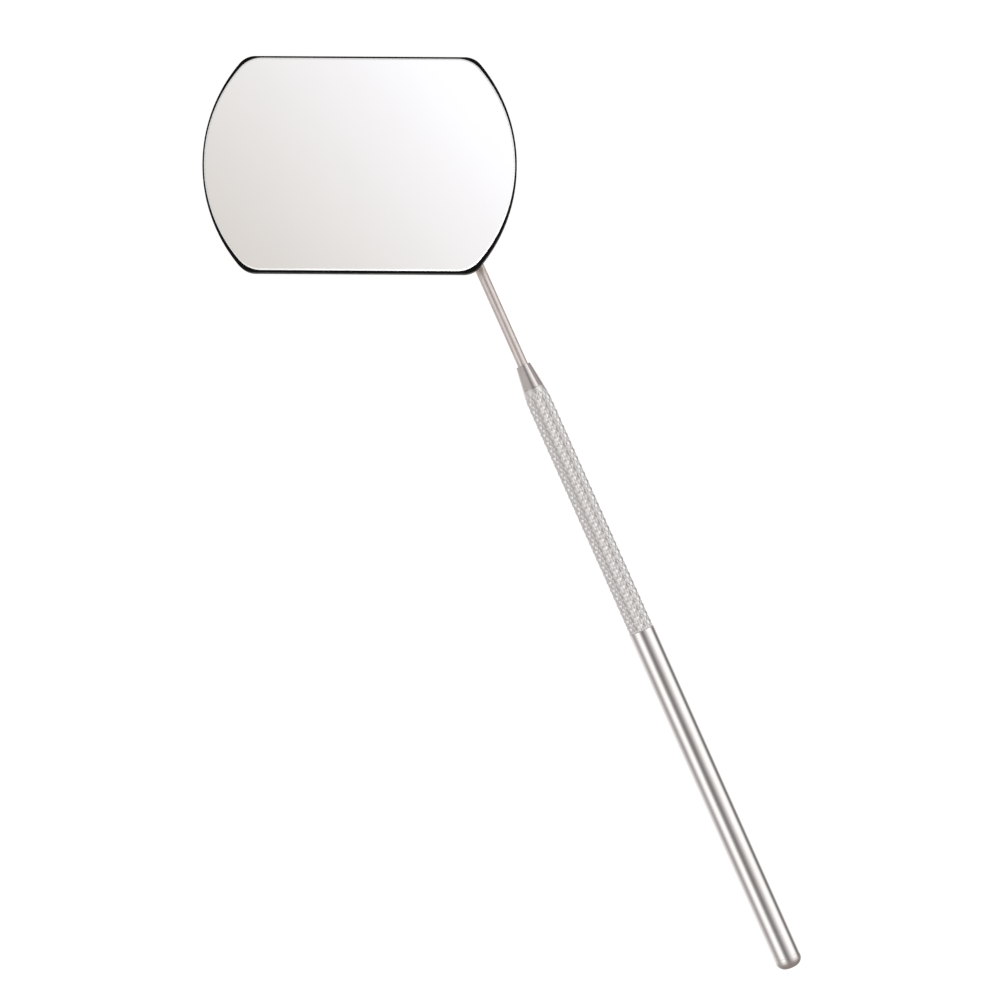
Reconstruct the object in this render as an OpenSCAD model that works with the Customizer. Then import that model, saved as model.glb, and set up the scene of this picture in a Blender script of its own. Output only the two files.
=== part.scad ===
// Mouth mirror with a large flat head: a round glass cut off by two flats, on a shallow
// stamped tray, with a black seal around the edges of both. The head is soldered on a wire
// stem whose cone hub screws into a knurled hollow handle. It lies on a table with its
// reflecting face up.
//
// +X runs along the handle from the head to the butt end, +Z is up. The origin is the
// middle of the whole instrument's footprint, on the table.

/* [Head] */
// Diameter of the round head before the flats are cut
head_d = 59.5; // [54:0.5:66]
// Distance between the two flats
flats_w = 41; // [38:0.5:44]
// Corner radius of the head's outside
corner_r = 4; // [3:0.5:5]
// Corner radius of the glass
glass_corner_r = 5.5; // [4.5:0.5:8]
// Amount by which the glass's round sides curve more tightly than the head's
glass_tighter = 1.5; // [0:0.25:3]
// Head centre, ahead of the hub's tip
head_ahead = 47.05; // [46.5:0.05:52]
// Head centre, to the side of the handle's axis
head_aside = 12.9; // [10:0.1:16]
// Turn of the flats away from the handle's axis
head_turn = 65.6; // [62:0.2:70]

/* [Head layers] */
// Thickness of the tray's sheet
tray_t = 0.4; // [0.3:0.05:0.6]
// Thickness of the tray's lip
lip_t = 0.25; // [0.2:0.05:0.3]
// Thickness of the backing pad, and height of the lip around it
pad_t = 0.4; // [0.3:0.05:0.5]
// Thickness of the glass
glass_t = 2.3; // [1.5:0.1:2.5]
// Thickness of the reflecting coating
coating_t = 0.05; // [0.04:0.01:0.1]
// Width of the seal that shows around the glass
seal_w = 0.35; // [0.2:0.05:0.4]
// Width of the seal that shows along the flats
seal_flat_w = 0.45; // [0.4:0.05:0.5]
// Distance by which the glass sits off the head's centre, away from the handle
glass_shift = 0.05; // [0:0.05:0.1]
// Height by which the glass stands proud of the seal
glass_proud = 0.3; // [0.1:0.05:0.4]

/* [Stem] */
// Diameter of the stem's wire
stem_d = 2.0; // [1.8:0.1:2.2]
// Height, above the wire's centre, of the flat on the stem's end
flat_h = 0.85; // [0.5:0.05:0.85]
// Length of the flat under the tray
flat_len = 15; // [10:0.5:18]
// Depth of the stem in the hub
stem_depth = 4; // [3:0.25:4.5]

/* [Hub] */
// Diameter of the hub's tip
hub_tip_d = 2.9; // [2.8:0.05:3.1]
// Diameter of the hub's shoulder
hub_d = 4.2; // [4:0.05:4.3]
// Length of the hub's cone
hub_len = 4.8; // [4.6:0.1:6]
// Outside diameter of the stud's thread
stud_d = 2.5; // [2.3:0.05:2.6]
// Length of the threaded stud
stud_len = 5; // [4:0.25:6]

/* [Handle] */
// Diameter of the smooth shank
shank_d = 5.0; // [4.9:0.05:5.5]
// Mean diameter of the knurl, halfway between its crests and its grooves
knurl_d = 4.68; // [4.5:0.02:4.68]
// Bore of the handle's tube
tube_bore = 3.5; // [3.4:0.05:3.6]
// Length from the hub's tip to the end of the knurl
knurl_end = 55.3; // [45:0.1:65]
// Length from the hub's tip to the butt end
reach = 125.6; // [115:0.1:140]
// Corner radius of the butt end
end_round = 1.6; // [1.2:0.1:2]

/* [Hidden] */

$fn = 96;
running_fit = 0.03;      // radial clearance between turning parts
seam = 0.05;             // gap between the hub's shoulder and the handle
glue_gap = 0.05;         // gap between the pad and the tray's lip
seal_low = 0.2;          // bare height of the tray below the seal
solder_film = 0.05;      // solder between the stem's flat and the tray
solder_w = 0.5;          // solder standing out around the stem
solder_h = 0.7;          // height of the solder below the tray
solder_back = 1.5;       // stretch of the flat ahead of the solder
scarf_len = 1.5;         // slope from the wire's top down to its flat
wire_chamfer = 0.3;      // broken edge on the stem's far end
relief_d = stud_d - 0.6; // undercut between the shoulder and the thread
relief_len = 0.6;
chamfer = 0.3;
insert_len = 9;          // length of the socket insert
socket_depth = stud_len + 1;
front_d = hub_d;         // the handle's front is flush with the hub's shoulder
knurl_taper = 3.2;       // tapered start of the knurl
plug_spigot = 4;         // part of the end plug inside the tube
plug_head = 2.4;         // part of the end plug that shows
dome_r = 9;              // curve of the butt end's face

axis_z = shank_d / 2;
tray_z = axis_z + flat_h + solder_film;
pad_z = tray_z + tray_t;
glass_z = pad_z + pad_t;
coating_z = glass_z + glass_t;
seal_top_z = coating_z - glass_proud;
front_x = hub_len + seam;
tube_end_x = reach - plug_head;
flat_x = sqrt(pow(head_d / 2, 2) - pow(head_aside, 2)) - head_ahead;
stem_end_x = flat_x - flat_len;

// X of a corner fillet's centre, where a circle of radius r meets a flat at distance h
function fillet_x(r, h, c) = sqrt(pow(r - c, 2) - pow(h - c, 2));
// Farthest reach of a head outline in the direction a, measured from its centre
function reach_at(r, h, c, a) =
    let (fx = fillet_x(r, h, c), fy = h - c, u = abs(cos(a)), v = abs(sin(a)))
    atan2(v, u) < atan2(fy, fx) ? r : fx * u + fy * v + c;

head_back = reach_at(head_d / 2, flats_w / 2, corner_r, head_turn);
head_side = reach_at(head_d / 2, flats_w / 2, corner_r, 90 - head_turn);
centre_x = (reach - head_ahead - head_back) / 2;
centre_y = (max(shank_d / 2, head_side - head_aside) - head_side - head_aside) / 2;

// Puts the design, drawn from the hub's tip on the handle's axis, on the table's origin
module placed() {
    translate([-centre_x, -centre_y, axis_z]) children();
}

// A round cut off by two flats, inset from the head's outside, with corner radius c. Its
// round sides keep their reach but curve more tightly by t, and its flats come in by f more.
module head_outline(inset, c, t = 0, f = 0) {
    r = head_d / 2 - inset - t;
    h = flats_w / 2 - inset - f;
    fx = fillet_x(r, h, c);
    fy = h - c;
    far = 2 * r / norm([fx, fy]);
    intersection() {
        translate([t, 0]) circle(r);
        translate([-t, 0]) circle(r);
        polygon([[fx + t, h], [fx + t, fy], [fx * far + t, fy * far],
                 [fx * far + t, -fy * far], [fx + t, -fy], [fx + t, -h],
                 [-fx - t, -h], [-fx - t, -fy], [-fx * far - t, -fy * far],
                 [-fx * far - t, fy * far], [-fx - t, fy], [-fx - t, h]]);
    }
    for (sx = [-1, 1], sy = [-1, 1]) translate([sx * (fx + t), sy * fy]) circle(c);
}

// The outline of the glass and its coating
module glass_outline() {
    translate([0, glass_shift])
        head_outline(seal_w, glass_corner_r, glass_tighter, seal_flat_w - seal_w);
}

// The tray's outline, inset by g
module tray_outline(g) {
    head_outline(seal_w + g, corner_r - seal_w - g);
}

// One layer of the head, from height z upward
module head_layer(z, t) {
    placed() translate([-head_ahead, -head_aside, z - axis_z]) rotate(head_turn)
        linear_extrude(t) children();
}

// A turned part: its half profile as [radius, distance from the hub's tip]
module turned() {
    placed() rotate([0, 90, 0]) rotate_extrude() children();
}

module mirror_coating() {
    color("gainsboro") head_layer(coating_z, coating_t) glass_outline();
}

module mirror_glass() {
    color("lightcyan") head_layer(glass_z, glass_t) glass_outline();
}

module backing_pad() {
    color("peru") head_layer(pad_z, pad_t) tray_outline(lip_t + glue_gap);
}

module edge_seal() {
    low_z = tray_z + seal_low;
    color("black") {
        head_layer(glass_z, seal_top_z - glass_z) difference() {
            head_outline(0, corner_r);
            glass_outline();
        }
        head_layer(low_z, glass_z - low_z) difference() {
            head_outline(0, corner_r);
            tray_outline(0);
        }
    }
}

module tray() {
    color("silver") {
        head_layer(tray_z, tray_t) tray_outline(0);
        head_layer(pad_z, pad_t) difference() {
            tray_outline(0);
            tray_outline(lip_t);
        }
    }
}

module foot_solder() {
    w = stem_d + 2 * solder_w;
    start_x = flat_x - solder_back;
    end_x = stem_end_x + stem_d / 2;
    color("darkgray") difference() {
        placed() translate([0, 0, flat_h + solder_film - solder_h]) linear_extrude(solder_h) {
            translate([end_x, -w / 2]) square([start_x - end_x, w]);
            translate([end_x, 0]) circle(d = w);
        }
        stem_wire();
    }
}

// The wire, with a flat and a scarf cut into its top where it runs under the tray
module stem_wire() {
    r = stem_d / 2;
    over = r + 1;
    placed() difference() {
        rotate([0, 90, 0]) {
            translate([0, 0, stem_end_x])
                cylinder(r1 = r - wire_chamfer, r2 = r, h = wire_chamfer);
            translate([0, 0, stem_end_x + wire_chamfer])
                cylinder(r = r, h = stem_depth - seam - stem_end_x - wire_chamfer);
        }
        rotate([90, 0, 0]) linear_extrude(stem_d + 1, center = true)
            polygon([[stem_end_x - 1, flat_h], [flat_x, flat_h], [flat_x + scarf_len, r],
                     [flat_x + scarf_len, over], [stem_end_x - 1, over]]);
    }
}

module stem() {
    color("lightgray") stem_wire();
}

module cone_hub() {
    stud_r = stud_d / 2;
    stud_end = hub_len + stud_len;
    color("silver") turned() polygon([
        [stem_d / 2 + running_fit, 0], [hub_tip_d / 2, 0], [hub_d / 2, hub_len],
        [relief_d / 2, hub_len], [relief_d / 2, hub_len + relief_len],
        [stud_r, hub_len + relief_len + chamfer], [stud_r, stud_end - chamfer],
        [stud_r - chamfer, stud_end], [0, stud_end], [0, stem_depth],
        [stem_d / 2 + running_fit, stem_depth]]);
}

module socket_insert() {
    hole_r = stud_d / 2 + running_fit;
    color("gray") turned() polygon([
        [hole_r, front_x], [tube_bore / 2, front_x], [tube_bore / 2, front_x + insert_len],
        [0, front_x + insert_len], [0, front_x + socket_depth],
        [hole_r, front_x + socket_depth]]);
}

module handle_tube() {
    bore_r = tube_bore / 2;
    color("silver") turned() polygon([
        [bore_r, front_x], [front_d / 2, front_x], [knurl_d / 2, front_x + knurl_taper],
        [knurl_d / 2, knurl_end], [shank_d / 2, knurl_end], [shank_d / 2, tube_end_x],
        [bore_r, tube_end_x]]);
}

module end_plug() {
    shank_r = shank_d / 2;
    color("silver") turned() {
        translate([0, tube_end_x - plug_spigot]) square([tube_bore / 2, plug_spigot]);
        intersection() {
            translate([0, tube_end_x]) square([shank_r, plug_head]);
            translate([0, reach - dome_r]) circle(dome_r);
            union() {
                translate([0, tube_end_x]) square([shank_r, plug_head - end_round]);
                translate([0, tube_end_x]) square([shank_r - end_round, plug_head]);
                translate([shank_r - end_round, reach - end_round]) circle(end_round);
            }
        }
    }
}

mirror_coating();
mirror_glass();
backing_pad();
edge_seal();
tray();
foot_solder();
stem();
cone_hub();
handle_tube();
socket_insert();
end_plug();
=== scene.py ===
"""The looks of a large flat mouth mirror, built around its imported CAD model.

Everything is in metres in the CAD's own frame: +X runs along the handle to its butt end,
+Z is up, and the instrument lies on the floor with its reflecting face up.
"""
import math
import random

import bmesh
import bpy
from mathutils import Matrix, Vector


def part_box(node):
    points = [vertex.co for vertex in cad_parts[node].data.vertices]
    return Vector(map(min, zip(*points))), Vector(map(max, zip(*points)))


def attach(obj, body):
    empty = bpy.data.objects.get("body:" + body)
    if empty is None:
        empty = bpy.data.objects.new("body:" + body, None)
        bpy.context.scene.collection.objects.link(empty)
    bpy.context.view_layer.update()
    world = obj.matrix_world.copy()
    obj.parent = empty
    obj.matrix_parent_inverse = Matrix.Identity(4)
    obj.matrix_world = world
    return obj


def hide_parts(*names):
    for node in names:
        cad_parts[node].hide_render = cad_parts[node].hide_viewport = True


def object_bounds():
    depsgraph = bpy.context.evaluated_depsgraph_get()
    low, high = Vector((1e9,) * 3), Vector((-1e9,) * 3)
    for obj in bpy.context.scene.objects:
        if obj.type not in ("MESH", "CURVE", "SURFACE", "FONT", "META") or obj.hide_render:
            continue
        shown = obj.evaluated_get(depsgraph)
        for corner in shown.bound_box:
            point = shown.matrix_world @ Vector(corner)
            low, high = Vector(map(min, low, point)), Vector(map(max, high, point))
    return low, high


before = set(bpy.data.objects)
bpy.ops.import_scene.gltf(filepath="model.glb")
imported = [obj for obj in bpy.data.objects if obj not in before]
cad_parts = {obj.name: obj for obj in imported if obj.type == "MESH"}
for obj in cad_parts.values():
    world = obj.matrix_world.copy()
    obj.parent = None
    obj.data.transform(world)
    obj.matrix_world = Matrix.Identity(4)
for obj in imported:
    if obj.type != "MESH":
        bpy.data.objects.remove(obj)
CAD_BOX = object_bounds()
MM = 0.001
RNG = random.Random(7)

# ---- places and sizes taken from the frame ---------------------------------------------
TUBE_LO, TUBE_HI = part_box("handle_tube")
PLUG_LO, PLUG_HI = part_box("end_plug")
HUB_LO, HUB_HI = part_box("cone_hub")
INSERT_LO, INSERT_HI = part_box("socket_insert")
STEM_LO, STEM_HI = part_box("stem")
TRAY_LO, TRAY_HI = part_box("tray")
PAD_LO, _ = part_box("backing_pad")
GLASS_LO, GLASS_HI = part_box("mirror_glass")
COATING_LO, COATING_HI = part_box("mirror_coating")
SEAL_LO, SEAL_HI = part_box("edge_seal")
SOLDER_LO, SOLDER_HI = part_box("foot_solder")

AXIS_Y = (TUBE_LO.y + TUBE_HI.y) / 2
AXIS_Z = (TUBE_LO.z + TUBE_HI.z) / 2
HEAD_X = (TRAY_LO.x + TRAY_HI.x) / 2
HEAD_Y = (TRAY_LO.y + TRAY_HI.y) / 2
TIP_X = HUB_LO.x
FRONT_X = TUBE_LO.x
SHANK_R = (TUBE_HI.z - TUBE_LO.z) / 2
HUB_R = (HUB_HI.z - HUB_LO.z) / 2
TUBE_BORE_R = (INSERT_HI.z - INSERT_LO.z) / 2
WIRE_R = (STEM_HI.z - STEM_LO.z) / 2

# ---- the design's other sizes, as in the CAD -------------------------------------------
HEAD_R = 29.75 * MM
HALF_FLATS = 20.5 * MM
HEAD_TURN = math.radians(65.6)
CORNER_R = 4 * MM
GLASS_CORNER_R = 5.5 * MM
GLASS_TIGHTER = 1.5 * MM
LIP_T = 0.25 * MM
SEAL_W = 0.35 * MM
SEAL_FLAT_W = 0.45 * MM
GLASS_SHIFT = 0.05 * MM        # towards the flat that is away from the handle
BEVEL = 0.28 * MM              # width of the glass's ground front edge, which the CAD leaves out
FLAT_H = 0.85 * MM
FLAT_X = HEAD_X + math.sqrt(HEAD_R ** 2 - (AXIS_Y - HEAD_Y) ** 2)
SCARF_LEN = 1.5 * MM
SOLDER_BACK = 1.5 * MM
HUB_TIP_R = 1.45 * MM
HUB_SHOULDER_X = TIP_X + 4.8 * MM
STEM_BORE_R = WIRE_R + 0.03 * MM
STEM_BORE_DEPTH = 4 * MM
STUD_R = 1.25 * MM
RELIEF_R = 0.95 * MM
RELIEF_LEN = 0.6 * MM
THREAD_PITCH = 0.45 * MM
THREAD_DEPTH = 0.24 * MM
SOCKET_R = STUD_R + 0.03 * MM
SOCKET_DEPTH = 6 * MM
KNURL_END_X = TIP_X + 55.3 * MM
KNURL_CREST_R = 2.425 * MM
KNURL_DEPTH = 0.26 * MM
KNURL_WORN = 0.88              # height of the worn crests, as a share of a full pyramid
KNURL_UNEVEN_MM = 0.02         # how far a crest may fall short
FRONT_SLOPE = 0.105            # of the cone that trims the knurl behind the hub
END_ROUND = 1.6 * MM
END_DOME_R = 9 * MM

# ---- the knurl: two crossed families of helical grooves ---------------------------------
KNURL_STARTS = 12
KNURL_PERIOD = 1.62 * MM       # along the axis, between grooves of one family
KNURL_STEPS = 8                # mesh steps in one groove's period
SEGMENTS = KNURL_STARTS * KNURL_STEPS

# ---- the camera, over a point beside the handle's front ---------------------------------
CAMERA_HEIGHT = 400 * MM       # above the handle's axis
VIEW_WIDTH = 191.2 * MM        # seen at the height of the handle's axis
CAMERA_OVER = (TIP_X + 21.9 * MM, AXIS_Y - 14.4 * MM)
PICTURE_RIGHT = math.radians(65.94)   # from +X towards +Y

# ---- the floor --------------------------------------------------------------------------
FLOOR_Z = CAD_BOX[0][2] - 0.02 * MM
FLOOR_R = 8.0


# ======== mesh helpers ===================================================================
def make_object(name, verts, faces, sharp_deg=35):
    """A smooth-shaded mesh object with outward normals and sharp edges above an angle."""
    mesh = bpy.data.meshes.new(name)
    mesh.from_pydata([tuple(v) for v in verts], [], faces)
    bm = bmesh.new()
    bm.from_mesh(mesh)
    bmesh.ops.remove_doubles(bm, verts=bm.verts, dist=1e-9)
    bmesh.ops.recalc_face_normals(bm, faces=bm.faces)
    bm.to_mesh(mesh)
    bm.free()
    mesh.polygons.foreach_set("use_smooth", [True] * len(mesh.polygons))
    mesh.set_sharp_from_angle(angle=math.radians(sharp_deg))
    obj = bpy.data.objects.new(name, mesh)
    bpy.context.scene.collection.objects.link(obj)
    return obj


def bridge(first, second):
    """Quads between two closed loops of vertex numbers, which have the same length."""
    n = len(first)
    return [(first[i], first[(i + 1) % n], second[(i + 1) % n], second[i]) for i in range(n)]


def loft(loops, ends="capped"):
    """Vertices and faces through closed loops: capped at both ends, or joined in a ring."""
    verts = [p for loop in loops for p in loop]
    n = len(loops[0])
    rows = [list(range(k * n, (k + 1) * n)) for k in range(len(loops))]
    faces = [f for a, b in zip(rows, rows[1:]) for f in bridge(a, b)]
    if ends == "ring":
        faces += bridge(rows[-1], rows[0])
    else:
        faces += [tuple(reversed(rows[0])), tuple(rows[-1])]
    return verts, faces


def arc(cx, cy, radius, start_deg, end_deg, steps):
    """Points on an arc, both ends included."""
    points = []
    for k in range(steps + 1):
        a = math.radians(start_deg + (end_deg - start_deg) * k / steps)
        points.append((cx + radius * math.cos(a), cy + radius * math.sin(a)))
    return points


# ======== turned parts, round the handle's axis ==========================================
def around(x, radius, turn):
    """The point at a distance from the axis, turn being a share of a whole turn."""
    a = 2 * math.pi * turn
    return (x, AXIS_Y + radius * math.cos(a), AXIS_Z + radius * math.sin(a))


def thread_wave(phase):
    """A vee thread's cut over one pitch: 0 on its narrow crest to 1 in its narrow root."""
    steep, crest = 2.6, 0.15
    f = phase % 1.0
    return min(1.0, max(0.0, (0.5 - abs(f - 0.5)) * steep - crest))


def turned(name, profile, segments=SEGMENTS):
    """A solid of revolution. The profile's points are (x, radius, thread cut), and its
    first and last lie on the axis. A thread cut is added to the radius along a helix."""
    verts = [around(profile[0][0], 0, 0)]
    rows = [[0] * segments]
    for x, radius, cut in profile[1:-1]:
        start = len(verts)
        for j in range(segments):
            turn = j / segments
            wave = thread_wave((x - TIP_X) / THREAD_PITCH - turn) if cut else 0
            verts.append(around(x, radius + cut * wave, turn))
        rows.append(list(range(start, start + segments)))
    verts.append(around(profile[-1][0], 0, 0))
    rows.append([len(verts) - 1] * segments)
    faces = []
    for a, b in zip(rows, rows[1:]):
        for face in bridge(a, b):
            corners = tuple(dict.fromkeys(face))
            if len(corners) > 2:
                faces.append(corners)
    return make_object(name, verts, faces)


def plain(points):
    """Profile points with no thread."""
    return [(x, r, 0) for x, r in points]


def threaded(x_from, x_to, radius, cut):
    """Profile points along a thread, whose cut fades in and out over half a pitch."""
    length = abs(x_to - x_from)
    steps = max(2, round(length / THREAD_PITCH * 10))
    points = []
    for k in range(steps + 1):
        along = k / steps * length
        edge = min(along, length - along)
        fade = min(1.0, edge / (THREAD_PITCH / 2))
        points.append((x_from + (x_to - x_from) * k / steps, radius, cut * max(fade, 0.001)))
    return points


def make_cone_hub():
    """The smooth cone, its edges broken, and the threaded stud behind its shoulder."""
    bore_end = TIP_X + STEM_BORE_DEPTH
    stud_end = HUB_HI.x
    edge = 0.05 * MM
    chamfer = 0.3 * MM
    relief_end = HUB_SHOULDER_X + RELIEF_LEN
    profile = plain([(bore_end, 0), (bore_end, STEM_BORE_R), (TIP_X + edge, STEM_BORE_R),
                     (TIP_X, STEM_BORE_R + edge)])
    tip = arc(TIP_X + edge, HUB_TIP_R - edge, edge, 180, 98, 5)
    shoulder = arc(HUB_SHOULDER_X - edge, HUB_R - edge, edge, 98, 0, 5)
    (x0, r0), (x1, r1) = tip[-1], shoulder[0]
    profile += plain(tip)
    near_both_ends = (0.02, 0.2, 0.8, 0.98)
    profile += plain([(x0 + (x1 - x0) * k, r0 + (r1 - r0) * k) for k in near_both_ends])
    profile += plain(shoulder)
    profile += plain([(HUB_SHOULDER_X, RELIEF_R + edge), (HUB_SHOULDER_X + edge, RELIEF_R),
                      (relief_end, RELIEF_R)])
    profile += threaded(relief_end + chamfer, stud_end - chamfer, STUD_R, -THREAD_DEPTH)
    profile += plain([(stud_end, STUD_R - chamfer), (stud_end, 0)])
    return turned("cone_hub_body", profile)


def make_socket_insert():
    """The threaded bush in the front of the tube, its thread a little shallower than the
    stud's."""
    bottom = FRONT_X + SOCKET_DEPTH
    drill_point = 0.4 * MM
    mouth = 0.1 * MM
    profile = plain([(bottom + drill_point, 0), (bottom, SOCKET_R)])
    profile += threaded(bottom, FRONT_X + mouth, SOCKET_R, THREAD_DEPTH * 0.8)
    profile += plain([(FRONT_X, SOCKET_R + mouth), (FRONT_X, TUBE_BORE_R),
                      (INSERT_HI.x, TUBE_BORE_R), (INSERT_HI.x, 0)])
    return turned("socket_insert_bush", profile)


def make_end_plug():
    """The rounded butt end, with its spigot in the tube."""
    spigot = PLUG_LO.x
    seam = TUBE_HI.x
    chamfer = 0.2 * MM
    vee = 0.03 * MM
    dome_x = PLUG_HI.x - END_DOME_R
    corner = (PLUG_HI.x - END_ROUND, SHANK_R - END_ROUND)
    profile = plain([(spigot, 0), (spigot, TUBE_BORE_R - chamfer),
                     (spigot + chamfer, TUBE_BORE_R), (seam, TUBE_BORE_R),
                     (seam, SHANK_R - vee), (seam + vee, SHANK_R)])
    for x, r in arc(corner[0], corner[1], END_ROUND, 90, 4, 18):
        dome = dome_x + math.sqrt(END_DOME_R ** 2 - r ** 2)
        profile.append((min(x, dome), r, 0))
    for k in range(5, 0, -1):
        r = corner[1] * k / 5
        profile.append((dome_x + math.sqrt(END_DOME_R ** 2 - r ** 2), r, 0))
    profile.append((PLUG_HI.x, 0, 0))
    return turned("end_plug_cap", profile)


# ======== the handle's tube, with its knurl ==============================================
def groove_height(phase):
    """0 at a groove's bottom to 1 on its crest, over one period."""
    f = phase % 1.0
    return min(f, 1 - f) * 2


def knurl_radius(x, turn, crest_offsets):
    """The knurl's radius: diamonds between crossed grooves, trimmed by the front's cone."""
    along = (x - FRONT_X) / KNURL_PERIOD
    u = KNURL_STARTS * turn + along
    v = KNURL_STARTS * turn - along
    height = min(groove_height(u), groove_height(v), KNURL_WORN) / KNURL_WORN
    key = (math.floor(u + 1e-6) - math.floor(v + 1e-6),
           (math.floor(u + 1e-6) + math.floor(v + 1e-6)) % (2 * KNURL_STARTS))
    offset = crest_offsets.setdefault(key, RNG.uniform(-KNURL_UNEVEN_MM, 0.0) * MM)
    radius = KNURL_CREST_R - KNURL_DEPTH * (1 - height) + offset * height
    cone = HUB_R + (x - FRONT_X) * FRONT_SLOPE
    return min(radius, cone), height


class Lathe:
    """Rings of vertices round the handle's axis, each vertex with its height in the knurl:
    0 at the bottom of a groove, 1 on a crest and on smooth surfaces."""

    def __init__(self):
        self.verts = []
        self.heights = []

    def ring(self, x, radius_at, shift=0.0):
        """One ring, turned by a share of a step; radius_at gives a radius and a height."""
        start = len(self.verts)
        for j in range(SEGMENTS):
            turn = (j + shift) / SEGMENTS
            radius, height = radius_at(x, turn)
            self.verts.append(around(x, radius, turn))
            self.heights.append(height)
        return list(range(start, start + SEGMENTS))

    def plain_ring(self, x, radius):
        """A smooth ring."""
        return self.ring(x, lambda _x, _turn: (radius, 1.0))


def knurl_rings(lathe):
    """The rings of the knurled grip, every other one turned by half a step."""
    step = KNURL_PERIOD / (2 * KNURL_STEPS)
    count = 2 * round((KNURL_END_X - FRONT_X) / step / 2)
    step = (KNURL_END_X - FRONT_X) / count
    offsets = {}
    return [lathe.ring(FRONT_X + k * step, lambda x, t: knurl_radius(x, t, offsets), (k % 2) / 2)
            for k in range(count + 1)]


def knurl_faces(rings):
    """Diamond faces over the knurl's rings, closed by triangles at both ends."""
    faces = []
    last = len(rings) - 1
    for k in range(last - 1):
        here, mid, there = rings[k:k + 3]
        for j in range(SEGMENTS):
            left, right = (j - 1, j) if k % 2 == 0 else (j, j + 1)
            faces.append((here[j], mid[right % SEGMENTS], there[j], mid[left % SEGMENTS]))
    for j in range(SEGMENTS):
        after = (j + 1) % SEGMENTS
        faces.append((rings[0][j], rings[0][after], rings[1][j]))
        faces.append((rings[last][j], rings[last - 1][j], rings[last][after]))
    return faces


def shank_rings(lathe):
    """The rings of the smooth shank, then of its rear end and of its bore."""
    edge = 0.04 * MM
    vee = 0.03 * MM
    end = TUBE_HI.x
    rings = [lathe.plain_ring(KNURL_END_X + 0.01 * MM, SHANK_R - edge),
             lathe.plain_ring(KNURL_END_X + edge, SHANK_R)]
    for k in range(1, 13):
        x = KNURL_END_X + edge + (end - vee - KNURL_END_X - edge) * k / 12
        rings.append(lathe.plain_ring(x, SHANK_R))
    rings += [lathe.plain_ring(end, SHANK_R - vee), lathe.plain_ring(end, TUBE_BORE_R),
              lathe.plain_ring(FRONT_X, TUBE_BORE_R)]
    return rings


def make_handle_tube():
    """The knurled grip, the smooth shank and the bore, in one closed mesh."""
    lathe = Lathe()
    knurl = knurl_rings(lathe)
    shank = shank_rings(lathe)
    faces = knurl_faces(knurl)
    for a, b in zip([knurl[-1]] + shank, shank + [knurl[0]]):
        faces += bridge(a, b)
    obj = make_object("handle_tube_turned", lathe.verts, faces, sharp_deg=25)
    crest = obj.data.attributes.new("crest", "FLOAT", "POINT")
    crest.data.foreach_set("value", lathe.heights)
    return obj


# ======== the stem =======================================================================
def flat_height(x):
    """Height, above the wire's centre, of the flat and the scarf cut into its top."""
    rise = (x - FLAT_X) / SCARF_LEN
    return FLAT_H + (WIRE_R - FLAT_H) * min(1.0, max(0.0, rise))


def make_stem():
    """Round drawn wire, cut flat on top where it runs under the head."""
    segments = 72
    chamfer = 0.3 * MM
    rear, rear_trim = 0.1 * MM, 0.06 * MM
    xs = [(STEM_LO.x, chamfer), (STEM_LO.x + chamfer, 0)]
    xs += [(STEM_LO.x + chamfer + (FLAT_X - STEM_LO.x - chamfer) * k / 8, 0) for k in range(1, 9)]
    xs += [(FLAT_X + SCARF_LEN * k / 6, 0) for k in range(1, 7)]
    scarf_end = FLAT_X + SCARF_LEN
    xs += [(scarf_end + (STEM_HI.x - rear - scarf_end) * k / 12, 0) for k in range(1, 13)]
    xs += [(STEM_HI.x, rear_trim)]
    loops = []
    for x, trim in xs:
        loop = []
        for j in range(segments):
            a = 2 * math.pi * (j + 0.5) / segments
            y, z = (WIRE_R - trim) * math.cos(a), (WIRE_R - trim) * math.sin(a)
            loop.append((x, AXIS_Y + y, AXIS_Z + min(z, flat_height(x))))
        loops.append(loop)
    verts, faces = loft(loops)
    return make_object("stem_wire", verts, faces, sharp_deg=22)


def solder_outline(grow, wobble=None):
    """The solder's outline from above: the wire's own, grown all round."""
    front = FLAT_X - SOLDER_BACK
    end_x = STEM_LO.x + WIRE_R
    half_w = WIRE_R + grow
    side = [(front + (end_x - front) * k / 28, half_w) for k in range(29)]
    points = side + arc(end_x, 0, half_w, 90, 270, 24)[1:-1]
    points += [(x, -y) for x, y in reversed(side)]
    if wobble:
        points = [(x, y * (1 - wobble[i])) for i, (x, y) in enumerate(points)]
    return [(x, AXIS_Y + y) for x, y in points]


def make_foot_solder():
    """A concave fillet of solder along the wire, with the film that joins it to the tray."""
    top = SOLDER_HI.z
    low = SOLDER_LO.z + 0.03 * MM
    reach = 0.48 * MM
    inside = -0.015 * MM
    toe = 0.02 * MM
    count = len(solder_outline(0))
    waves = [RNG.uniform(0, 2 * math.pi) for _ in range(4)]

    def wobble(amount):
        """How far the fillet is drawn in at each point of its outline."""
        return [amount * (1 + sum(math.sin((k + 2) * 2 * math.pi * i / count + w)
                                  for k, w in enumerate(waves)) / 4) for i in range(count)]
    loops = [[(x, y, AXIS_Z + FLAT_H) for x, y in solder_outline(inside)],
             [(x, y, low) for x, y in solder_outline(inside)]]
    for k in range(9):
        t = k / 8
        grow = toe + (reach - toe) * (1 - math.cos(t * math.pi / 2))
        z = low + (top - low) * math.sin(t * math.pi / 2)
        loops.append([(x, y, z) for x, y in solder_outline(grow, wobble(0.06 * t))])
    verts, faces = loft(loops)
    return make_object("foot_solder_fillet", verts, faces)


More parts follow.
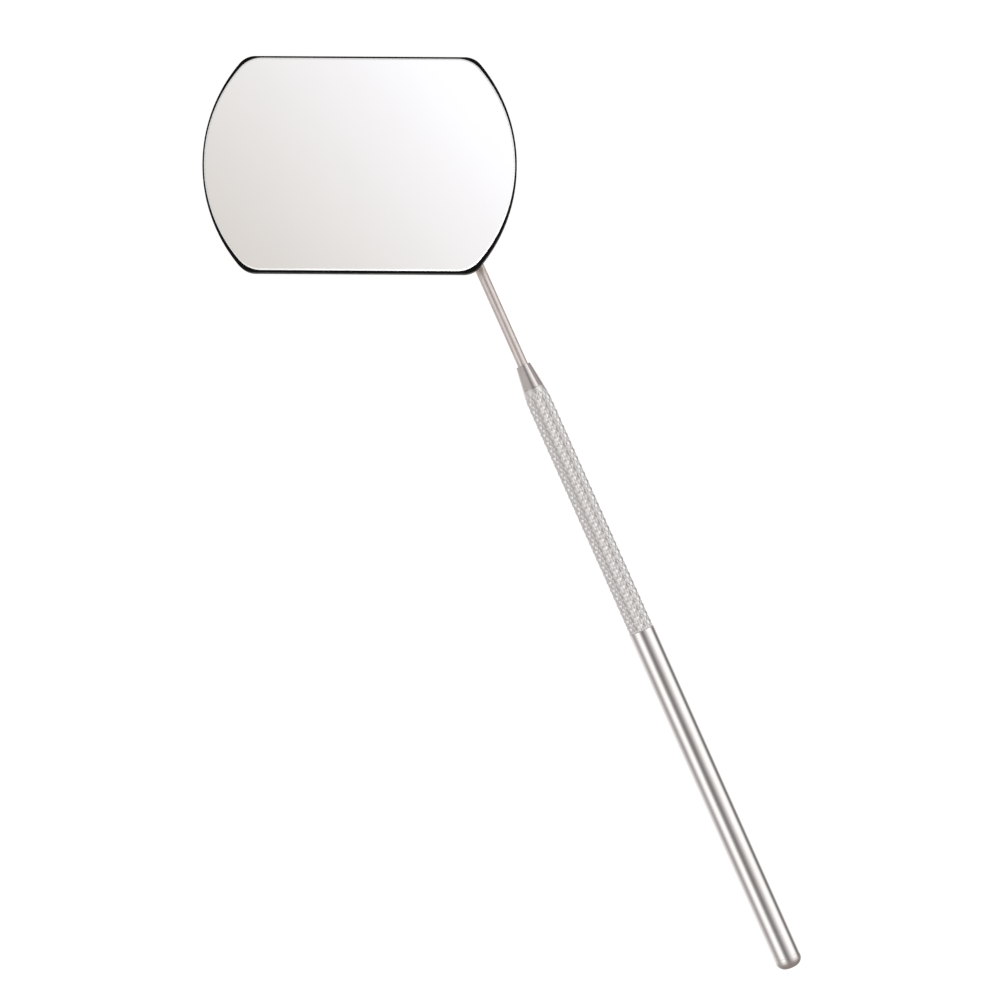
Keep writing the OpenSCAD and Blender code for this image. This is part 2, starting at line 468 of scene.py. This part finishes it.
# ======== the head =======================================================================
def head_outline(inset, corner_r, tighter=0.0, flats_in=0.0, shift=0.0):
    """The head's outline in the frame's x and y: a round cut by two flats, with rounded
    corners. The round sides keep their reach but can curve more tightly, the flats can come
    further in, and the whole outline can shift across them."""
    r = HEAD_R - inset - tighter
    h = HALF_FLATS - inset - flats_in
    fx = math.sqrt((r - corner_r) ** 2 - (h - corner_r) ** 2)
    fy = h - corner_r
    edge = math.degrees(math.atan2(fy, fx))
    quarter = arc(tighter + fx, fy, corner_r, 90, edge, 14)[:-1]
    quarter += arc(tighter, 0, r, edge, -edge, 48)
    quarter += arc(tighter + fx, -fy, corner_r, -edge, -90, 14)[1:]
    width = tighter + fx
    flat = [(width - 2 * width * k / 12, -h) for k in range(1, 12)]
    half = quarter + flat
    points = [(x, y + shift) for x, y in half] + [(-x, shift - y) for x, y in half]
    c, s = math.cos(HEAD_TURN), math.sin(HEAD_TURN)
    return [(HEAD_X + x * c - y * s, HEAD_Y + x * s + y * c) for x, y in points]


def head_loops(profile):
    """Closed loops for a profile of (z, *what head_outline takes)."""
    return [[(x, y, z) for x, y in head_outline(*shape)] for z, *shape in profile]


def glass_loop(inset, z):
    """A loop on the glass's outline, moved inwards."""
    return (z, SEAL_W + inset, GLASS_CORNER_R - inset, GLASS_TIGHTER,
            SEAL_FLAT_W - SEAL_W, GLASS_SHIFT)


def tray_loop(inset, z):
    """A loop on the tray's outline, moved inwards."""
    return (z, SEAL_W + inset, CORNER_R - SEAL_W - inset)


def make_tray():
    """A shallow stamped dish: rounded lower edge, and a thin lip round the pad."""
    bend = 0.18 * MM
    edge = 0.04 * MM
    lip_z = TRAY_HI.z
    profile = [tray_loop(bend - dx, TRAY_LO.z + bend + dz) for dx, dz in arc(0, 0, bend, -90, 0, 6)]
    profile += [tray_loop(0, lip_z - edge), tray_loop(edge, lip_z), tray_loop(LIP_T - edge, lip_z),
                tray_loop(LIP_T, lip_z - edge), tray_loop(LIP_T, PAD_LO.z)]
    verts, faces = loft(head_loops(profile))
    return make_object("tray_dish", verts, faces)


def make_edge_seal():
    """The black resin band round glass and tray, wide where the glass's corners fall short."""
    shoulder = 0.15 * MM
    toe = 0.08 * MM
    gap = 0.01 * MM
    top = SEAL_HI.z
    profile = [(SEAL_LO.z + toe + dz, gap + toe - dx, CORNER_R - toe + dx)
               for dx, dz in arc(0, 0, toe, -90, 0, 3)]
    profile += [(top - shoulder + dz, gap + shoulder - dx, CORNER_R - shoulder + dx)
                for dx, dz in arc(0, 0, shoulder, 0, 75, 6)]
    profile += [glass_loop(-gap, top), glass_loop(-gap, GLASS_LO.z - gap),
                tray_loop(-gap, GLASS_LO.z - gap), tray_loop(-gap, SEAL_LO.z)]
    verts, faces = loft(head_loops(profile), ends="ring")
    return make_object("edge_seal_band", verts, faces)


def make_glass():
    """The glass plate, its front edge ground to a narrow, shallow bevel."""
    low = 0.08 * MM
    drop = 0.12 * MM
    profile = [glass_loop(low, GLASS_LO.z), glass_loop(0, GLASS_LO.z + low),
               glass_loop(0, GLASS_HI.z - drop), glass_loop(BEVEL, GLASS_HI.z)]
    verts, faces = loft(head_loops(profile))
    return make_object("glass_plate", verts, faces, sharp_deg=20)


def make_coating():
    """The reflecting layer on the front of the glass, up to the bevel."""
    edge = 0.02 * MM
    profile = [glass_loop(BEVEL, COATING_LO.z), glass_loop(BEVEL, COATING_HI.z - edge),
               glass_loop(BEVEL + edge, COATING_HI.z)]
    verts, faces = loft(head_loops(profile))
    return make_object("mirror_coating_layer", verts, faces, sharp_deg=20)


# ======== materials ======================================================================
class Nodes:
    """The node tree of a material or a world, with short ways to add to it."""

    def __init__(self, owner):
        owner.use_nodes = True
        self.tree = owner.node_tree
        self.tree.nodes.clear()

    def node(self, kind, **props):
        """A new node, with its properties set."""
        made = self.tree.nodes.new(kind)
        for key, value in props.items():
            setattr(made, key, value)
        return made

    def link(self, out, into):
        """Join two sockets."""
        self.tree.links.new(out, into)

    def spread(self, value, low, high, at=(0.3, 0.7), **props):
        """A field stretched to run from low to high while the value runs over a range."""
        node = self.node("ShaderNodeMapRange", **props)
        node.inputs["From Min"].default_value = at[0]
        node.inputs["From Max"].default_value = at[1]
        node.inputs["To Min"].default_value = low
        node.inputs["To Max"].default_value = high
        self.link(value, node.inputs["Value"])
        return node.outputs["Result"]

    def math(self, operation, a, b):
        """A sum or the like of two values, each a number or a socket."""
        node = self.node("ShaderNodeMath", operation=operation)
        for socket, value in zip(node.inputs, (a, b)):
            if isinstance(value, (int, float)):
                socket.default_value = value
            else:
                self.link(value, socket)
        return node.outputs["Value"]

    def mix(self, factor, a, b):
        """A colour between a and b, each a colour or a socket."""
        node = self.node("ShaderNodeMix", data_type="RGBA")
        self.link(factor, node.inputs["Factor"])
        for socket, value in zip(node.inputs[6:8], (a, b)):
            if isinstance(value, tuple):
                socket.default_value = (*value, 1.0)
            else:
                self.link(value, socket)
        return node.outputs[2]


class Shader(Nodes):
    """One Principled material, built node by node in the CAD's own coordinates."""

    def __init__(self, name, **values):
        self.material = bpy.data.materials.new(name)
        super().__init__(self.material)
        self.bsdf = self.node("ShaderNodeBsdfPrincipled")
        out = self.node("ShaderNodeOutputMaterial")
        self.link(self.bsdf.outputs["BSDF"], out.inputs["Surface"])
        for key, value in values.items():
            socket = key.replace("_", " ").title().replace("Ior", "IOR")
            self.bsdf.inputs[socket].default_value = value
        self.place = self.node("ShaderNodeTexCoord").outputs["Object"]

    def noise(self, scale, detail=3.0, rough=0.55):
        """A noise field, with its own scale along x, y and z, per metre."""
        mapping = self.node("ShaderNodeMapping")
        mapping.inputs["Scale"].default_value = scale
        self.link(self.place, mapping.inputs["Vector"])
        field = self.node("ShaderNodeTexNoise")
        field.inputs["Scale"].default_value = 1.0
        field.inputs["Detail"].default_value = detail
        field.inputs["Roughness"].default_value = rough
        self.link(mapping.outputs["Vector"], field.inputs["Vector"])
        return field.outputs["Fac"]

    def split_x(self):
        """The place's distance along the handle."""
        split = self.node("ShaderNodeSeparateXYZ")
        self.link(self.place, split.inputs[0])
        return split.outputs["X"]

    def bump(self, height, distance, strength=1.0):
        """Fine relief in the surface, its height in metres."""
        node = self.node("ShaderNodeBump")
        node.inputs["Distance"].default_value = distance
        node.inputs["Strength"].default_value = strength
        self.link(height, node.inputs["Height"])
        self.link(node.outputs["Normal"], self.bsdf.inputs["Normal"])

    def set(self, name, value):
        """Join a field to one of the shader's sockets."""
        self.link(value, self.bsdf.inputs[name])


STEEL_LIGHT = (0.745, 0.725, 0.717)
STEEL_DARK = (0.675, 0.65, 0.64)
WARM_LIGHT = (0.735, 0.705, 0.695)
WARM_DARK = (0.655, 0.62, 0.61)
# the knurl's colour, painted lighter than the shank's steel: a painted brightness
KNURL_PAINTED_BRIGHT = (0.86, 0.845, 0.84)
# the knurl's grooves, painted darker by their depth: a painted shade
GROOVE_PAINTED_SHADE = (0.50, 0.485, 0.48)
# the butt end's colour: darker and browner than the rest of the steel
BUTT_END_DARK_BROWN = (0.45, 0.40, 0.375)


def turned_steel(name, polish, light=STEEL_LIGHT, dark=STEEL_DARK, crest=False, end=False):
    """Turned and polished stainless steel: fine rings round the axis, faint long polishing
    streaks and handling haze. With crest, the knurl is rougher, its colour is painted
    lighter (a painted brightness) and its grooves are painted darker by their depth (a
    painted shade). With end, the last 2.2 mm at the butt end is darker, browner and
    rougher."""
    s = Shader(name, metallic=1.0)
    rings = s.noise((9000, 90, 90), detail=4)
    streaks = s.noise((60, 2600, 2600), detail=3)
    haze = s.noise((110, 240, 240), detail=5, rough=0.6)
    tone = s.math("ADD", s.math("MULTIPLY", haze, 0.6), s.math("MULTIPLY", rings, 0.4))
    colour = s.mix(s.spread(tone, 0.0, 1.0, (0.35, 0.65)), dark, light)
    rough = s.math("ADD", s.spread(rings, polish * 0.75, polish * 1.2),
                   s.spread(haze, 0.0, polish * 0.5, (0.45, 0.8)))
    # the knurl is painted lighter (painted brightness) and its grooves darker (painted shade)
    if crest:
        height = s.node("ShaderNodeAttribute", attribute_name="crest").outputs["Fac"]
        groove = s.spread(height, 1.0, 0.0, (0.15, 0.85))
        knurl = s.spread(s.split_x(), 1.0, 0.0, (KNURL_END_X, KNURL_END_X + 0.05 * MM))
        colour = s.mix(s.math("MULTIPLY", knurl, 0.8), colour, KNURL_PAINTED_BRIGHT)
        colour = s.mix(s.math("MULTIPLY", groove, 0.2), colour, GROOVE_PAINTED_SHADE)
        rough = s.math("ADD", rough, s.math("MULTIPLY", knurl, 0.26))
    if end:
        # darker, browner and rougher over the last 2.2 mm towards the butt end
        darker_from = PLUG_HI.x - 2.2 * MM
        end_darkening = s.spread(s.split_x(), 0.0, 1.0, (darker_from, darker_from + 1.0 * MM))
        colour = s.mix(s.math("MULTIPLY", end_darkening, 0.9), colour, BUTT_END_DARK_BROWN)
        rough = s.math("ADD", rough, s.math("MULTIPLY", end_darkening, 0.36))
    s.set("Base Color", colour)
    s.set("Roughness", rough)
    s.bump(s.math("ADD", s.math("MULTIPLY", rings, 0.7), s.math("MULTIPLY", streaks, 0.3)),
           0.006 * MM, 0.35)
    return s.material


def drawn_wire(name):
    """Drawn stainless wire: long die lines and a satin surface with a few dull patches. The
    end that was heated for soldering is duller and a little yellower."""
    s = Shader(name, metallic=1.0)
    lines = s.noise((120, 9000, 9000), detail=4)
    patches = s.noise((300, 500, 500), detail=4)
    heated = s.spread(s.split_x(), 1.0, 0.0, (FLAT_X + 1.0 * MM, FLAT_X + 2.6 * MM))
    drawn = s.mix(s.spread(patches, 0.0, 1.0), (0.65, 0.585, 0.56), (0.75, 0.69, 0.665))
    s.set("Base Color", s.mix(s.math("MULTIPLY", heated, 0.8), drawn, (0.76, 0.67, 0.62)))
    rough = s.math("ADD", s.spread(lines, 0.33, 0.42), s.spread(patches, 0.0, 0.08))
    s.set("Roughness", s.math("ADD", rough, s.math("MULTIPLY", heated, 0.22)))
    s.bump(lines, 0.008 * MM, 0.4)
    return s.material


def satin_sheet(name):
    """Stamped stainless sheet with a straight satin grain and a faint cloudy roughness."""
    s = Shader(name, metallic=1.0)
    turn = s.node("ShaderNodeMapping")
    turn.inputs["Rotation"].default_value = (0, 0, -HEAD_TURN)
    s.link(s.place, turn.inputs["Vector"])
    s.place = turn.outputs["Vector"]
    grain = s.noise((180, 11000, 900), detail=4)
    cloud = s.noise((70, 90, 90), detail=5)
    s.set("Base Color", s.mix(s.spread(grain, 0.0, 1.0), (0.58, 0.565, 0.55), (0.70, 0.685, 0.67)))
    s.set("Roughness", s.math("ADD", s.spread(grain, 0.22, 0.34), s.spread(cloud, 0.0, 0.10)))
    s.bump(grain, 0.01 * MM, 0.35)
    return s.material


def silver_solder(name):
    """Solder: paler than the steel, with slow ripples and small dull grains."""
    s = Shader(name, metallic=1.0)
    ripple = s.noise((900, 900, 900), detail=3)
    grains = s.noise((7000, 7000, 7000), detail=2)
    s.set("Base Color", s.mix(s.spread(grains, 0.0, 1.0), (0.60, 0.575, 0.53), (0.78, 0.76, 0.71)))
    s.set("Roughness", s.spread(ripple, 0.24, 0.46))
    s.bump(s.math("ADD", ripple, s.math("MULTIPLY", grains, 0.15)), 0.03 * MM, 0.5)
    return s.material


def black_resin(name):
    """Black sealing resin: nearly black, semi-gloss, faintly uneven."""
    s = Shader(name, specular_ior_level=0.10)
    swell = s.noise((700, 700, 700), detail=3)
    dust = s.noise((9000, 9000, 9000), detail=2)
    s.set("Base Color", s.mix(s.spread(dust, 0.0, 1.0, (0.45, 0.8)), (0.002, 0.002, 0.002),
                              (0.007, 0.0065, 0.0065)))
    s.set("Roughness", s.spread(swell, 0.42, 0.58))
    s.bump(swell, 0.02 * MM, 0.4)
    return s.material


def mirror_film(name):
    """The front-surface coating: optically flat, with the faintest wiped haze."""
    s = Shader(name, metallic=1.0)
    wipes = s.noise((60, 160, 60), detail=5, rough=0.65)
    s.set("Base Color", s.mix(s.spread(wipes, 0.0, 1.0), (0.955, 0.955, 0.955), (0.965, 0.963, 0.96)))
    s.set("Roughness", s.spread(wipes, 0.006, 0.022, (0.45, 0.75)))
    return s.material


def ground_glass(name):
    """Clear float glass whose edges are ground: frosty, with fine grinding marks."""
    s = Shader(name, transmission_weight=0.06, ior=1.52)
    grind = s.noise((6000, 6000, 1500), detail=3)
    s.set("Base Color", s.mix(s.spread(grind, 0.0, 1.0), (0.94, 0.955, 0.95), (0.98, 0.99, 0.985)))
    s.set("Roughness", s.spread(grind, 0.30, 0.45))
    s.bump(grind, 0.01 * MM, 0.4)
    return s.material


def fibre_pad(name):
    """Thin pad of resin-bonded fibre."""
    s = Shader(name, specular_ior_level=0.2)
    fibres = s.noise((5000, 900, 3000), detail=4)
    cross = s.noise((900, 5000, 3000), detail=4)
    weave = s.math("ADD", s.math("MULTIPLY", fibres, 0.5), s.math("MULTIPLY", cross, 0.5))
    s.set("Base Color", s.mix(s.spread(weave, 0.0, 1.0), (0.36, 0.27, 0.17), (0.62, 0.51, 0.36)))
    s.set("Roughness", s.spread(cross, 0.7, 0.95))
    s.bump(weave, 0.04 * MM, 0.6)
    return s.material


# ======== putting the pieces on their bodies =============================================
def place(obj, body, slot, material, *nodes):
    """Give a piece its material, put it on its body and let it stand in for its CAD nodes."""
    obj.data.materials.clear()
    obj.data.materials.append(material)
    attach(obj, body)
    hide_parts(*nodes)
    return obj


def build_instrument():
    """Make and place every piece; returns the mirror's coating and the glass."""
    polished = turned_steel("polished_handle_steel", 0.11, crest=True)
    hub_steel = turned_steel("polished_hub_steel", 0.14, WARM_LIGHT, WARM_DARK)
    plug_steel = turned_steel("polished_plug_steel", 0.12, end=True)
    bush_steel = turned_steel("turned_bush_steel", 0.24)
    place(make_handle_tube(), "handle", "handle_steel", polished, "handle_tube")
    place(make_end_plug(), "handle", "handle_steel", plug_steel, "end_plug")
    place(make_socket_insert(), "handle", "insert_steel", bush_steel, "socket_insert")
    place(make_cone_hub(), "hub", "hub_steel", hub_steel, "cone_hub")
    place(make_stem(), "head", "stem_steel", drawn_wire("drawn_wire"), "stem")
    place(make_foot_solder(), "head", "solder", silver_solder("silver_solder"), "foot_solder")
    place(make_tray(), "head", "tray_steel", satin_sheet("satin_tray"), "tray")
    place(make_edge_seal(), "head", "seal", black_resin("black_resin"), "edge_seal")
    glass = place(make_glass(), "head", "glass", ground_glass("ground_glass"), "mirror_glass")
    film = place(make_coating(), "head", "coating", mirror_film("mirror_film"), "mirror_coating")
    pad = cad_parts["backing_pad"]
    pad.data.materials.clear()
    pad.data.materials.append(fibre_pad("fibre_pad"))
    return film, glass


# ======== studio =========================================================================
def emitter(name, strength, see_through=False):
    """A glowing material; returns it with its nodes and its glow. A see-through one adds
    its glow to whatever lies behind."""
    material = bpy.data.materials.new(name)
    nodes = Nodes(material)
    glow = nodes.node("ShaderNodeEmission")
    glow.inputs["Strength"].default_value = strength
    surface = glow.outputs[0]
    if see_through:
        both = nodes.node("ShaderNodeAddShader")
        nodes.link(surface, both.inputs[0])
        nodes.link(nodes.node("ShaderNodeBsdfTransparent").outputs[0], both.inputs[1])
        surface = both.outputs[0]
    nodes.link(surface, nodes.node("ShaderNodeOutputMaterial").inputs["Surface"])
    return material, nodes, glow


def make_floor():
    """A wide pale floor under the handle. It glows by itself to come out white without a
    brighter studio, and polished pieces don't reflect it."""
    rim = [(x, y, FLOOR_Z) for x, y in arc(0, 0, FLOOR_R, 0, 360, 96)[:-1]]
    floor = make_object("studio_floor", rim, [tuple(range(len(rim)))])
    s = Shader("pale_floor", roughness=0.9, specular_ior_level=0.0)
    grain = s.noise((400, 400, 400), detail=2)
    s.set("Base Color", s.mix(s.spread(grain, 0.0, 1.0), (0.47, 0.47, 0.47), (0.49, 0.49, 0.49)))
    s.bsdf.inputs["Emission Color"].default_value = (1, 1, 1, 1)
    s.bsdf.inputs["Emission Strength"].default_value = 0.76
    floor.data.materials.append(s.material)
    floor.visible_glossy = False


def make_backdrop():
    """A plain white dome on the floor's edge, seen only directly, behind low views."""
    loops = []
    for x, z in arc(0, 0, FLOOR_R, 0, 88, 12):
        loops.append([(px, py, FLOOR_Z + z) for px, py in arc(0, 0, x, 0, 360, 96)[:-1]])
    verts, faces = loft(loops)
    dome = make_object("studio_backdrop", verts, faces[:-2] + faces[-1:])
    dome.data.materials.append(emitter("backdrop_white", 1.05)[0])
    dome.visible_diffuse = False
    dome.visible_glossy = False
    dome.visible_transmission = False
    dome.visible_shadow = False


# Brightness of the studio round the handle, by the angle in degrees from straight up
# towards +Y: soft panels on both sides, a dark gap overhead and dark flags low down.
STUDIO = [(-180, 1.0), (-142, 1.1), (-128, 1.0), (-114, 0.68), (-101, 0.52), (-88, 0.48),
          (-76, 0.76), (-64, 1.24), (-54, 1.47), (-45, 1.56), (-36, 1.45), (-27, 0.92),
          (-18, 0.46), (-9, 0.29), (0, 0.29), (9, 0.40), (18, 0.60), (27, 0.82), (36, 1.10),
          (46, 1.36), (58, 1.50), (72, 1.50), (81, 1.34), (89, 1.00), (99, 0.45), (112, 0.17),
          (122, 0.21), (134, 0.56), (152, 0.85), (180, 1.0)]
STUDIO_TOP = max(level for _, level in STUDIO)


def studio_bands(w, across, up):
    """The brightness listed in STUDIO, as a colour that depends on the direction's angle."""
    share = w.spread(w.math("ARCTAN2", across, up), 0.0, 1.0, (-math.pi, math.pi))
    ramp = w.node("ShaderNodeValToRGB")
    ramp.color_ramp.interpolation = "B_SPLINE"
    stops = ramp.color_ramp.elements
    for k, (degrees, level) in enumerate(STUDIO):
        position = (degrees + 180) / 360
        stop = stops[-1] if k == len(STUDIO) - 1 else stops.new(position) if k else stops[0]
        grey = level / STUDIO_TOP
        warm = 1 - 0.05 * (1 - grey)
        stop.color = (grey, grey * warm, grey * warm * 0.995, 1)
    w.link(share, ramp.inputs["Fac"])
    return ramp.outputs["Color"]


def make_world():
    """A studio that only depends on direction, so its bands run straight along the handle.
    It fades to greys towards the head's end on both sides, and towards the butt end."""
    world = bpy.data.worlds.new("studio")
    bpy.context.scene.world = world
    w = Nodes(world)
    split = w.node("ShaderNodeSeparateXYZ")
    w.link(w.node("ShaderNodeTexCoord").outputs["Generated"], split.inputs[0])
    along, across, up = split.outputs

    def fade(value, start, end, most=1.0):
        """0 to its most as the value runs from start to end."""
        return w.spread(value, 0.0, most, (start, end), interpolation_type="SMOOTHSTEP")
    headward = fade(along, -0.12, -0.22)
    left = w.math("MULTIPLY", headward, fade(across, -0.10, -0.40))
    right = w.math("MULTIPLY", headward, fade(across, 0.75, 0.92))
    corner = w.math("MULTIPLY", fade(along, -0.38, -0.58, 0.85), fade(across, 0.3, 0.55))
    light = w.mix(left, studio_bands(w, across, up), (0.38, 0.362, 0.355))
    light = w.mix(right, light, (0.30, 0.28, 0.275))
    light = w.mix(fade(along, -0.50, -0.90, 0.5), light, (0.45, 0.44, 0.435))
    light = w.mix(corner, light, (0.45, 0.44, 0.435))
    light = w.mix(fade(along, 0.42, 0.75, 0.7), light, (0.22, 0.20, 0.19))
    background = w.node("ShaderNodeBackground")
    background.inputs["Strength"].default_value = STUDIO_TOP
    w.link(light, background.inputs["Color"])
    w.link(background.outputs[0], w.node("ShaderNodeOutputWorld").inputs["Surface"])


def show_only_to(card, receiver):
    """Let a card's glow reach one piece only; every other piece sees through the card."""
    card.visible_camera = False
    card.visible_shadow = False
    card.visible_transmission = False
    receivers = bpy.data.collections.new(card.name + "_receiver")
    receivers.objects.link(receiver)
    card.light_linking.receiver_collection = receivers


def mirror_glow(cx, cy, reach):
    """A soft glow, warm and dim towards the picture's lower left, white towards its upper
    right."""
    material, n, glow = emitter("mirror_card_glow", 0.85, see_through=True)
    centred = n.node("ShaderNodeMapping")
    centred.inputs["Location"].default_value = (-cx, -cy, 0)
    slanted = n.node("ShaderNodeMapping")
    slanted.inputs["Rotation"].default_value = (0, 0, -(PICTURE_RIGHT + math.radians(42)))
    split = n.node("ShaderNodeSeparateXYZ")
    ramp = n.node("ShaderNodeValToRGB")
    ramp.color_ramp.elements[0].color = (0.504, 0.474, 0.43, 1)
    ramp.color_ramp.elements[1].color = (0.886, 0.897, 0.945, 1)
    n.link(n.node("ShaderNodeTexCoord").outputs["Object"], centred.inputs["Vector"])
    n.link(centred.outputs["Vector"], slanted.inputs["Vector"])
    n.link(slanted.outputs["Vector"], split.inputs[0])
    share = n.spread(split.outputs["X"], 0.0, 1.0, (-1.02 * reach, 1.02 * reach))
    n.link(share, ramp.inputs["Fac"])
    n.link(ramp.outputs["Color"], glow.inputs["Color"])
    return material


def make_mirror_card(film):
    """What the mirror reflects to the camera: a card above the head, just large enough."""
    height = 0.05
    ratio = (height - COATING_HI.z) / (CAMERA_HEIGHT + AXIS_Z - COATING_HI.z)
    cx = HEAD_X + (HEAD_X - CAMERA_OVER[0]) * ratio
    cy = HEAD_Y + (HEAD_Y - CAMERA_OVER[1]) * ratio
    reach = HEAD_R * (1 + ratio)
    half = reach * 1.04
    verts = [(cx - half, cy - half, height), (cx + half, cy - half, height),
             (cx + half, cy + half, height), (cx - half, cy + half, height)]
    card = make_object("mirror_card", verts, [(0, 1, 2, 3)])
    card.data.materials.append(mirror_glow(cx, cy, reach))
    show_only_to(card, film)


def make_bevel_card(glass):
    """A low card beyond the picture's lower edge. It whitens the glass's bevel along the
    lower side of the head and leaves the bevel along the upper side as it is."""
    towards = PICTURE_RIGHT - math.radians(62)
    away, half, low, high = 0.065, 0.028, 0.014, 0.036
    c, s = math.cos(towards), math.sin(towards)
    x, y = HEAD_X + away * c, HEAD_Y + away * s
    verts = [(x - half * s, y + half * c, low), (x + half * s, y - half * c, low),
             (x + half * s, y - half * c, high), (x - half * s, y + half * c, high)]
    card = make_object("bevel_card", verts, [(0, 1, 2, 3)])
    card.data.materials.append(emitter("bevel_card_glow", 8.0, see_through=True)[0])
    show_only_to(card, glass)


def make_camera():
    """Straight down over the instrument, turned so that the handle runs to the lower right."""
    data = bpy.data.cameras.new("camera")
    data.sensor_width = 36.0
    data.lens = data.sensor_width * CAMERA_HEIGHT / VIEW_WIDTH
    data.clip_start = 0.01
    data.clip_end = 10.0
    camera = bpy.data.objects.new("camera", data)
    bpy.context.scene.collection.objects.link(camera)
    c, s = math.cos(PICTURE_RIGHT), math.sin(PICTURE_RIGHT)
    turn = Matrix(((c, -s, 0), (s, c, 0), (0, 0, 1))).to_4x4()
    spot = Vector((*CAMERA_OVER, AXIS_Z + CAMERA_HEIGHT))
    camera.matrix_world = Matrix.Translation(spot) @ turn
    bpy.context.scene.camera = camera


# ======== the whole scene ================================================================
make_camera()
make_world()
make_floor()
make_backdrop()
coating_piece, glass_piece = build_instrument()
make_mirror_card(coating_piece)
make_bevel_card(glass_piece)
bpy.context.scene.view_settings.view_transform = "Standard"
